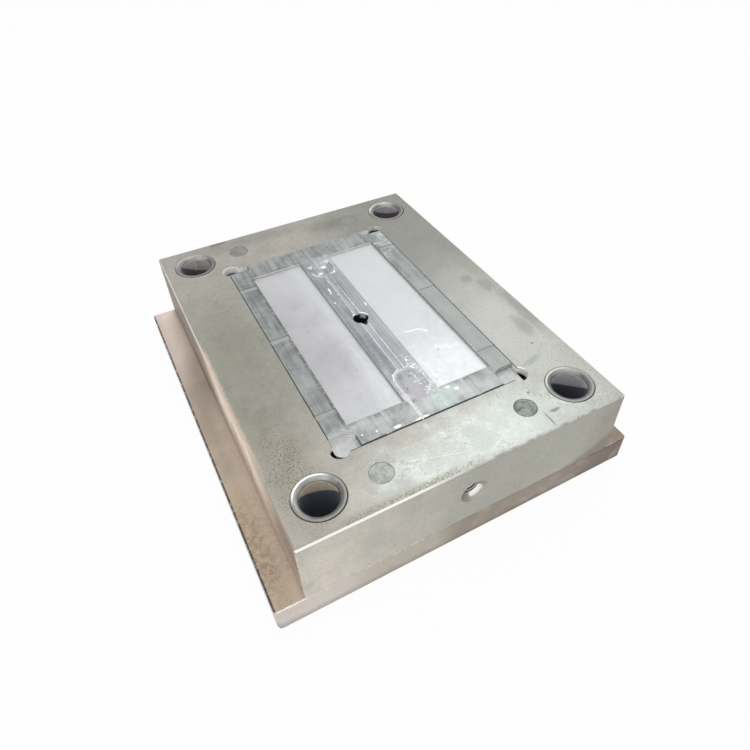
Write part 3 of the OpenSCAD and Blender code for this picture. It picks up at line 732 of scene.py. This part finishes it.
def insertBar(f):  # the bar between the impressions, chalky towards its ends
    x, y, patches, streaks = f.x, f.y, f.patches, f.streaks
    bar = f.mix(f.step(streaks + f.mottle.sway(0.4), 0.36, 0.6), insert["barDark"], insert["bar"])
    bar = f.mix(f.step(x + streaks.sway(14), 2, 11) * 0.8, bar, insert["barRight"])
    chalk = f.step(abs(y) + patches.sway(50), 66, 112) * f.step(patches, 0.36, 0.6, 0.25, 0.85)
    bar = f.mix(chalk * f.step(y, 0, 1, 1.0, 0.55), bar, insert["facePale"])
    return f.mix(f.blot((0, -110), (8.5, 20), 0.3, 0.4) * 0.9, bar, insert["mauve"])


def insertLines(f):  # thin machined lines beside the runner and the impressions
    x, y = f.x, f.y
    beside = f.band(abs(x), insert["runnerHalf"] + 0.1, insert["runnerHalf"] + 0.8, 0.3)
    lines = strongest([
        beside * f.band(abs(y), 9, 80, 4),
        f.band(x, 13.6, 14.2, 0.3) * f.band(y, -60, 40, 8) * 0.4,
        f.band(x, 9.4, 9.8, 0.3) * f.band(y, 8, 70, 8) * 0.4,
        f.band(x, -17.4, -16.4, 0.2) * f.fall(abs(y), 112, 115) * 0.8,
    ])
    return lines * f.step(f.mottle, 0.35, 0.6, 0.3, 0.9)


def insertResidueAndHighlights(f):  # white: painted highlights along the forks' outer edges; residue out through the outlet, with a puddle, drops and foam
    x, y, patches = f.x, f.y, f.patches
    archY = abs(y) - insert["forkY"]
    reach = fromCentre(x, archY) + f.edge() * 0.8 - insert["forkRadius"]
    # the forks' outer edges: painted highlights, the back ones broken up
    arch = f.band(reach, 0.8, 2.8, 0.4) * f.fall(archY, -0.2, 0.2)
    frontArch = arch * f.fall(y, -20, 0) * f.step(x, -8, 11, 1.0, 0.35)
    backArch = arch * f.step(y, 0, 20) * f.step(patches, 0.42, 0.52, 0.15, 1.0)
    outlet = f.band(x + f.edge() * 0.8 - insert["outletX"], -1.2, 1.2, 0.4) * f.fall(y, -93, -91)
    puddle = f.blot((insert["outletX"], -138.6), (7.5, 1.7), 0.3, 0.4)
    drops = [f.blot(centre, size, 0.25, 0.4) for centre, size in insert["drops"]]
    droplets = f.fall(f.dots(360) + f.mottle.sway(0.3), 0.12, 0.34) * f.step(patches, 0.4, 0.55)
    rightLine = f.band(x, 69.8, 71.8, 0.6) * f.band(y, -100, 70, 20) * 0.8
    foam = droplets * f.blots(insert["foamBlots"]).atLeast(rightLine)
    froth = f.step(f.noise(430, 4, 0.7), 0.53, 0.6) * f.step(patches, 0.36, 0.56)
    froth = froth * f.blots(insert["frothBlots"])
    return strongest([outlet, frontArch, backArch, puddle, *drops, foam * 0.6, froth * 0.75])


def insertImpressions(f):  # satin floors with a painted sheen, brighter at the right and the front, wiped and specked
    x, y, cloud, patches = f.x, f.y, f.cloud, f.patches
    drift = (y / (2 * insert["impressionHalf"]) + 0.5) * 0.4 + cloud * 0.7
    satin = f.mix(f.step(drift + patches.sway(0.3), 0.35, 0.8), insert["satinDull"], insert["satin"])
    satin = f.mix(f.blot((-64, 4), (26, 76), 0.3, 0.8) * 0.5, satin, insert["satinDull"])
    # the brighter inner half of the left floor, the right floor and the front: a painted sheen
    inner = f.step(x + cloud.sway(12), -42, -22) * f.fall(x, 0, 1)
    satin = f.mix(inner * 0.75, satin, insert["satinBright"])
    rightOne = f.step(x, 0, 1) * f.step(y + cloud.sway(120), -60, 110, 1.0, 0.85)
    satin = f.mix(rightOne, satin, insert["satinBright"])
    nearFront = f.fall(y + patches.sway(40), -100, -35) * f.step(x, 0, 1, 0.35, 1.0)
    satin = f.mix(nearFront * 0.9, satin, insert["satinFront"])
    hook = f.stroke((29, -36.5), (43, -38.5), 2.4, 0.7, 1.4)
    hook = hook.atLeast(f.stroke((43, -38.5), (48, -45), 2.4, 0.7, 1.4))
    wipes = strongest([
        f.blot((52, -72), (14, 4), 0.4, 0.9, -0.3),
        f.blot((54, -88), (12, 5), 0.4, 0.9, 0.4) * 0.6,
        f.stroke((22, -72), (25, -112), 3, 0.8, 2.0) * 0.5,
        f.stroke((-26, -24), (-24, -58), 1.2, 0.8, 1.5) * 0.4,
    ])
    satin = f.mix((hook * 0.4).atLeast(wipes * 0.25), satin, insert["white"])
    specks = strongest([f.blot(centre, size, 0.2) for centre, size in insert["satinSpecks"]])
    return f.mix(specks * 0.5, satin, insert["cut"]), hook


def insertNotches(f, color):  # bright shelves, with a painted shadow crescent in the front left one
    patches, mottle = f.patches, f.mottle
    shelf = f.mix(f.step(mottle * 0.5 + patches * 0.5, 0.4, 0.6) * 0.6, insert["notch"], insert["facePale"])
    # a painted shadow along the outer edges of the front left shelf
    cornerX, cornerY = (-80 - f.x).atLeast(0.0), (-130 - f.y).atLeast(0.0)
    crescent = f.step(fromCentre(cornerX, cornerY) + mottle.sway(0.6), 10.4, 10.9) * f.step(cornerX, 2, 3)
    shelf = f.mix(crescent, shelf, insert["side"])
    return f.mix(f.floorAt(insert["notchDepth"], 0.3, 0.1) * f.inNotch, color, shelf)


def insertWalls(f):  # painted highlight on the impressions' end walls, painted shade on their long walls; bright notch walls
    x, y, halfLong = f.x, f.y, insert["impressionHalf"]
    wall = f.mix(f.step(abs(y), halfLong - 0.3, halfLong), insert["longWallShade"], insert["wall"])
    # the notch walls: painted bright, darker at the front right
    rightFrontSheen = f.step(x, 0, 1) * f.fall(y, -1, 0)
    notchWall = f.mix(rightFrontSheen, insert["notchWall"], insert["notchRight"])
    # a band of painted shade on the inner walls of the left notches
    upright = f.band(abs(x), 67.2, 68.3, 0.3) * f.fall(x, 0, 1)
    return f.mix(f.inNotch, wall, f.mix(upright, notchWall, insert["cut"]))


def insertSprue(f, color):  # painted shade in the bore with painted light on a cleft, and a painted highlight rim at its far side
    x, y, z = f.x, f.y, f.z
    radius = fromCentre(x, y)
    below = f.fall(z, partingZ - 0.25, partingZ - 0.05)
    boreShade = f.fall(radius, insert["sprueRadius"] - 0.1, insert["sprueRadius"] + 0.1) * below
    # and a painted shadow where the runner groove meets the bore
    boreShade = boreShade.atLeast(f.blot((1.6, -8.0), (2.2, 2.2), 0.3, 0.3))
    cleft = f.blot((5.4, 5.4), (3.6, 3.4), 0.3, 0.4) * f.step(z, partingZ - 6, partingZ - 4)
    color = f.mix(boreShade, color, f.mix(cleft, insert["sprue"], insert["sprueLit"]))
    rim = f.band(radius + f.edge() * 1.2, 7.4, 8.8, 0.35) * f.step(y + x * 0.4, 2, 7) * (1.0 - below)
    return f.mix(rim * 0.8, color, insert["white"])


def insertOutside(f, color):  # painted shade on the upright sides, and the painted shadow of the gap round the insert
    y, outward = f.y, f.past(insertHigh)
    high = f.step(f.z, partingZ - 0.8, partingZ - 0.5)
    # the upright sides: painted shade
    color = f.mix(f.step(outward, -0.3, -0.05) * (1.0 - high), color, insert["side"])
    wide = f.fall(y, *plate["gapWidens"]) * 0.4
    gapShadow = f.step(outward + wide + f.mottle.sway(0.4), -0.6, -0.25) * high
    return f.mix(gapShadow * f.step(y, *plate["gapFades"], 0.85, 0.1), color, insert["gapShadow"])


def insertFinish():
    f = Finish("insertSteel", insert["patterns"])
    f.streaks = f.noise(210, 5, 0.65, 0.1, f.turned(0, (1, 0.07, 1)))
    x, y, z, patches, mottle = f.x, f.y, f.z, f.patches, f.mottle
    barHalf, halfLong = insert["barHalf"], insert["impressionHalf"]
    f.inNotch = f.step(abs(x), 65, 66.5) * f.step(abs(y), halfLong + 2, halfLong + 3)  # the corner notches

    # the face with the bar, green stain, lines, residue and specks
    onBar = f.fall(abs(x), barHalf, barHalf + 0.2) * f.fall(abs(y), halfLong, halfLong + 3)
    face = f.mix(onBar * 0.95, insertFace(f), insertBar(f))
    green = f.blot((14, -128), (15, 12), 0.6, 0.7) * f.step(patches, 0.35, 0.6)
    face = f.mix(green * 0.6, face, insert["green"])
    face = f.mix(insertLines(f), face, insert["line"])
    # residue together with the painted highlights along the forks
    white = insertResidueAndHighlights(f)
    face = f.mix(white * 0.94, face, insert["white"])
    specks = strongest([f.blot(centre, size, 0.2) for centre, size in insert["barSpecks"]])
    face = f.mix(specks * 0.85, face, insert["cut"])

    # below the face: walls, vent floors, runner and forks, impressions and notches, each at its own level
    color = f.mix(f.step(z, partingZ - 0.3, partingZ - 0.1), insertWalls(f), face)
    bold = f.step(y, -120, -112, 0.2, 1.0) * f.step(mottle * 0.5 + patches * 0.5, 0.36, 0.5, 0.6, 1.0)
    ventFloor = f.mix(bold, face, insert["vent"])
    ventFloor = f.mix(f.step(y, -122, -118, 0.8, 0.0), ventFloor, insert["satinFront"])
    color = f.mix(f.floorAt(insert["ventDepth"], 0.12, 0.05) * (1.0 - onBar), color, ventFloor)
    groove = f.mix(f.step(f.streaks, 0.36, 0.5, 0.4, 1.0), insert["bar"], insert["runner"])
    forked = f.mix(f.step(y, 0, 1), insert["mauvePale"], insert["mauve"])
    groove = f.mix(f.step(abs(y) + patches.sway(20), 80, 90) * 0.85, groove, forked)
    groove = f.mix(white * 0.94, groove, insert["white"])
    sunk = f.band(z, partingZ - 2.3, partingZ - 0.15, 0.05) * f.fall(abs(x), barHalf - 0.4, barHalf)
    color = f.mix(sunk, color, groove)
    satin, hook = insertImpressions(f)
    onSatin = f.floorAt(insert["impressionDepth"], 0.25, 0.1)
    color = f.mix(onSatin, color, satin)
    color = insertOutside(f, insertSprue(f, insertNotches(f, color)))

    calm = 1.0 - onSatin * 0.72
    shade = mottle.sway(0.5) + f.streaks.sway(0.3) + patches.sway(0.28) + f.grain.sway(0.34)
    rough = f.step(mottle, 0.3, 0.7, *insert["roughness"]) + onSatin * 0.08
    matt = f.step(z, partingZ - 0.4, partingZ - 0.2, 0.78, 0.0) * (1.0 - onSatin)
    height = (mottle * 0.5 + f.grain * 0.3 + f.streaks * 0.2) * calm + white * 0.7 + hook * 0.4
    return f.done(f.shaded(color, shade * calm), rough, insert["metallic"] - matt, height, insert["bump"])


# Guide bushes: rounded mouths, lit at the far side, over bores with painted light above a slanting line and
# painted shade below. Each bush has that line's tilt and depth, and how strongly its painted highlight rim
# and the painted highlight streak in its bore show.
bushes = {
    "ring": tone(142, 142, 139),
    "rim": tone(244, 245, 242),
    "mouth": tone(112, 110, 108),
    "mouthLit": tone(160, 160, 157),
    "groove": tone(52, 52, 50),
    "boreRadius": 15.0,
    "mouthWidth": 4.0,
    "crescent": (19.2, 20.8),
    "roughness": (0.3, 0.42),
    "metallic": 0.85,
    "bump": 0.04,
    "patterns": {
        "mottle": (240, 5, 0.65),
        "patches": (60, 5, 0.6),
        "grain": (1500, 3, 0.7),
    },
    "looks": {
        "guide_bush_back_left": {
            "wall": tone(224, 220, 219), "deepShade": tone(132, 128, 130),
            "tilt": (0.46, 0.82), "lineDepth": 2.0, "rim": 0.5, "highlightStreak": 1.0,
        },
        "guide_bush_back_right": {
            "wall": tone(226, 218, 226), "deepShade": tone(132, 126, 134),
            "tilt": (0.46, 0.82), "lineDepth": -1.8, "rim": 0.7, "highlightStreak": 0.0,
        },
        "guide_bush_front_left": {
            "wall": tone(255, 240, 212), "deepShade": tone(122, 130, 144),
            "tilt": (0.28, 0.92), "lineDepth": 0.2, "rim": 1.0, "highlightStreak": 0.2,
        },
        "guide_bush_front_right": {
            "wall": tone(228, 228, 232), "deepShade": tone(112, 116, 126),
            "tilt": (0.64, 0.72), "lineDepth": 2.6, "rim": 0.3, "highlightStreak": 0.3,
        },
    },
}


def bushFinish(name):
    f = Finish(name.replace("guide_bush", "bushSteel"), bushes["patterns"])
    look, mottle, patches = bushes["looks"][name], f.mottle, f.patches
    centreX, centreY = middle(name)
    dx, dy, depth = f.x - centreX, f.y - centreY, partingZ - f.z
    radius = fromCentre(dx, dy)
    turned = f.noise(500, 2, vector=f.add("CombineXYZ", {}, {0: radius * mm * 3, 2: depth * mm * 3}))

    # the bore: painted light above a slanting line, painted shade below it, and a painted highlight streak
    below = depth - dx * look["tilt"][0] - dy * look["tilt"][1] + mottle.sway(2) - look["lineDepth"]
    wall = f.mix(f.step(below, -1, 1), look["wall"], look["deepShade"])
    highlightStreak = f.fall(abs(dx - 1.5 + mottle.sway(3)), 0.5, 2.2) * f.step(dy, 0, 4) * f.fall(below, -2, 2)
    wall = f.mix(highlightStreak * look["highlightStreak"], wall, bushes["rim"])

    # the mouth and the ring, with a painted highlight crescent at the far left and a painted shade line at
    # the right
    farSide = (dy * 0.89 + dx * 0.46) / radius + patches.sway(0.6)
    mouth = f.mix(f.step(farSide, 0.6, 1.05), bushes["mouth"], bushes["mouthLit"])
    nearLeft = (dy * 0.3 - dx * 0.95) / radius + patches.sway(0.6)
    mouth = f.mix(f.step(nearLeft, 0.2, 1.0) * look["rim"] * 0.7, mouth, bushes["mouthLit"])
    inBore = f.fall(radius, bushes["boreRadius"] + 0.05, bushes["boreRadius"] + 0.5)
    color = f.mix(inBore, mouth, wall)
    level = f.fall(depth, 0, 1.5)
    ringFrom = bushes["boreRadius"] + bushes["mouthWidth"]
    color = f.mix(f.step(radius, ringFrom - 0.8, ringFrom + 0.4) * level, color, bushes["ring"])
    farLeft = f.step((dy * 0.955 - dx * 0.297) / radius, 0.35, 0.85)
    crescent = f.band(radius, *bushes["crescent"], 0.4) * farLeft * level
    color = f.mix(crescent * look["rim"], color, bushes["rim"])
    shaded = f.step((dx * 0.95 - dy * 0.3) / radius + patches.sway(0.6), -0.1, 0.5)
    color = f.mix(f.step(radius, 20.3, 20.7) * level * shaded * 0.9, color, bushes["groove"])

    shade = mottle.sway(0.5) + patches.sway(0.4) + f.grain.sway(0.2) + turned.sway(0.3)
    rough = f.step(mottle, 0.3, 0.7, *bushes["roughness"]) + inBore * 0.15
    metallic = bushes["metallic"] - inBore * 0.65
    return f.done(f.shaded(color, shade), rough, metallic, mottle * 0.4 + turned * 0.4, bushes["bump"])


# Return pin pads: hardened discs, hammered dull by the pins, the front right one darkest
pads = {
    "rimTone": tone(88, 92, 88),
    "roughness": (0.38, 0.55),
    "metallic": 0.82,
    "bump": 0.08,
    "patterns": {"mottle": (190, 6, 0.72), "grain": (1200, 3, 0.75)},
    "looks": {
        "return_pad_back_left": {"face": tone(150, 149, 142), "worn": tone(130, 128, 121), "rim": 0.3},
        "return_pad_back_right": {"face": tone(143, 143, 136), "worn": tone(138, 138, 131), "rim": 0.0},
        "return_pad_front_left": {"face": tone(168, 172, 166), "worn": tone(146, 150, 144), "rim": 0.2},
        "return_pad_front_right": {"face": tone(138, 146, 141), "worn": tone(96, 104, 100), "rim": 0.6},
    },
}


def padFinish(name):
    f = Finish(name.replace("return_pad", "padSteel"), pads["patterns"])
    look, mottle = pads["looks"][name], f.mottle
    centreX, centreY = middle(name)
    padRadius = corners(name)[1][0] - centreX
    color = f.mix(f.step(mottle, 0.42, 0.62), look["face"], look["worn"])
    fromMiddle = fromCentre(f.x - centreX, f.y - centreY) + mottle.sway(2.4)
    rim = f.step(fromMiddle, padRadius - 1.6, padRadius - 0.3)
    color = f.shaded(f.mix(rim * look["rim"], color, pads["rimTone"]), mottle.sway(0.5) + f.grain.sway(0.35))
    rough = f.step(mottle, 0.3, 0.7, *pads["roughness"])
    return f.done(color, rough, pads["metallic"], mottle * 0.8 + f.grain * 0.3, pads["bump"])


# Pieces that the photograph doesn't show: each has its own steel, brass or rubber
plain = {
    "turnedSteel": {
        "tone": tone(168, 166, 161), "dull": tone(126, 122, 115), "metallic": 0.9, "rough": (0.28, 0.45),
        "nodes": ["locating_ring"],
    },
    "hardenedSteel": {
        "tone": tone(150, 150, 148), "dull": tone(104, 102, 100), "metallic": 0.9, "rough": (0.25, 0.4),
        "nodes": ["sprue_bush", "plate_dowels"],
    },
    "blackSteel": {
        "tone": tone(62, 60, 58), "dull": tone(40, 38, 36), "metallic": 0.6, "rough": (0.38, 0.6),
        "nodes": ["ring_screws", "clamp_plate_screws", "insert_screws"],
    },
    "yellowBrass": {
        "tone": tone(196, 164, 96), "dull": tone(138, 112, 64), "metallic": 0.95, "rough": (0.26, 0.48),
        "nodes": ["channel_plugs", "water_nipple_1", "water_nipple_2", "water_nipple_3", "water_nipple_4"],
    },
    "sealRubber": {
        "tone": tone(38, 38, 36), "dull": tone(26, 26, 25), "metallic": 0.0, "rough": (0.55, 0.75),
        "nodes": ["channel_seals"],
    },
}
plainSurface = {"bump": 0.04, "patterns": {"mottle": (260, 5, 0.65), "grain": (1600, 3, 0.7)}}


def plainFinish(name):
    look = plain[name]
    f = Finish(name, plainSurface["patterns"])
    lines = f.noise(700, 2, vector=f.turned(0, (0.1, 0.1, 4)))
    color = f.mix(f.step(f.mottle, 0.4, 0.68), look["tone"], look["dull"])
    color = f.shaded(color, f.mottle.sway(0.35) + f.grain.sway(0.25) + lines.sway(0.2))
    rough = f.step(f.mottle, 0.3, 0.7, *look["rough"])
    height = f.mottle * 0.4 + f.grain * 0.3 + lines * 0.3
    return f.done(color, rough, look["metallic"], height, plainSurface["bump"])


def dress(name, material):
    slots = nodes[name].data.materials
    slots.clear()
    slots.append(material)


dress("cavity_plate", plateFinish())
dress("clamp_plate", clampFinish())
dress("cavity_insert", insertFinish())
for bush in bushes["looks"]:
    dress(bush, bushFinish(bush))
for pad in pads["looks"]:
    dress(pad, padFinish(pad))
for finishName, look in plain.items():
    finish = plainFinish(finishName)
    for node in look["nodes"]:
        dress(node, finish)
print("finishes on", len(nodes), "nodes")

# Eyebolt threads: a helical ridge in each end hole, behind its cone; the flat is the crest's share of a pitch
thread = {
    "pitch": 2.0,
    "turns": 9,
    "steps": 40,
    "coreRadius": 6.9,
    "crest": 0.6,
    "root": 0.15,
    "flat": (0.42, 0.58),
    "start": 5.9,
    "weld": 1e-7,
    "crestHighlight": tone(250, 249, 244),
    "dark": tone(40, 38, 36),
    "roughness": 0.4,
    "metallic": 0.4,
    "bump": 0.04,
    "patterns": {"mottle": (260, 5, 0.65)},
}


def threadFinish():  # painted highlights on the crests over painted shade in the roots
    f = Finish("threadSteel", thread["patterns"])
    radius = fromCentre(f.x, f.z - plate["holeZ"]) + f.mottle.sway(0.2)
    crest = f.fall(radius, thread["coreRadius"] - 0.5, thread["coreRadius"] - 0.2)
    color = f.mix(crest, thread["dark"], thread["crestHighlight"])
    return f.done(color, thread["roughness"], thread["metallic"], f.mottle * 0.4, thread["bump"])


def makeThread(name, endY, inward, finish):
    bm = bmesh.new()
    root, crest = thread["coreRadius"] + thread["root"], thread["coreRadius"] - thread["crest"]
    pitch = thread["pitch"] * mm
    profile = [(root, 0.0), *((crest, along) for along in thread["flat"]), (root, 1.0)]
    bm.faces.new([bm.verts.new((radius * mm, 0, along * pitch)) for radius, along in profile])
    section = bm.verts[:] + bm.edges[:] + bm.faces[:]
    rise = Vector((0, 0, pitch / thread["steps"]))
    bmesh.ops.spin(
        bm, geom=section, cent=(0, 0, 0), axis=(0, 0, 1), dvec=rise, angle=math.tau * thread["turns"],
        steps=thread["steps"] * thread["turns"], use_merge=False, use_duplicate=False,
    )
    bmesh.ops.remove_doubles(bm, verts=bm.verts[:], dist=thread["weld"])
    bmesh.ops.holes_fill(bm, edges=[e for e in bm.edges if e.is_boundary], sides=len(profile))
    turn = Matrix.Rotation(-inward * math.pi / 2, 4, "X")
    place = Matrix.Translation((0, (endY + inward * thread["start"]) * mm, plate["holeZ"] * mm))
    bmesh.ops.transform(bm, matrix=place @ turn, verts=bm.verts[:])
    bmesh.ops.recalc_face_normals(bm, faces=bm.faces[:])
    ridge = addObject(bm, name)
    ridge.data.materials.append(finish)
    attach(ridge, "root")


threadSteel = threadFinish()
makeThread("eyebolt_thread_front", plateLow[1], 1, threadSteel)
makeThread("eyebolt_thread_back", plateHigh[1], -1, threadSteel)
print("eyebolt threads cut")
